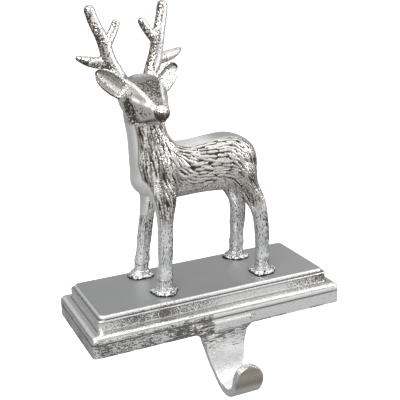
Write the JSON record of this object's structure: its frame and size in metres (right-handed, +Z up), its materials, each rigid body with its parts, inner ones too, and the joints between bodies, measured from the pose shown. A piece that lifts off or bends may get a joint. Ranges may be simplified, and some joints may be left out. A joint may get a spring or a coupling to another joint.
{
  "type": "mantel stocking holder",
  "caption": "Cast metal reindeer on a stepped rectangular plinth that stands on a mantel shelf, with a wide stocking hook hanging in front.",
  "frame": {"origin": "middle of the underside of the felt sheet, on which the plinth stands", "axes": "+Z up, +X along the plinth towards the reindeer's rump, -Y towards the room, where the hook hangs"},
  "size_m": [0.15, 0.0938, 0.2055],
  "materials": {
    "plinth_metal": "hand-buffed cast aluminium, satin grey top panel",
    "figure_metal": "bright cast silver with dark antique wash in the carved hair",
    "weld_metal": "rough bright filler metal with dark flux edges",
    "felt": "dark felt"
  },
  "bodies": {
    "root": {"plinth_with_hook": "plinth_metal", "reindeer_figure": "figure_metal", "hoof_welds": "weld_metal", "felt_sheet": "felt"}
  },
  "joints": []
}
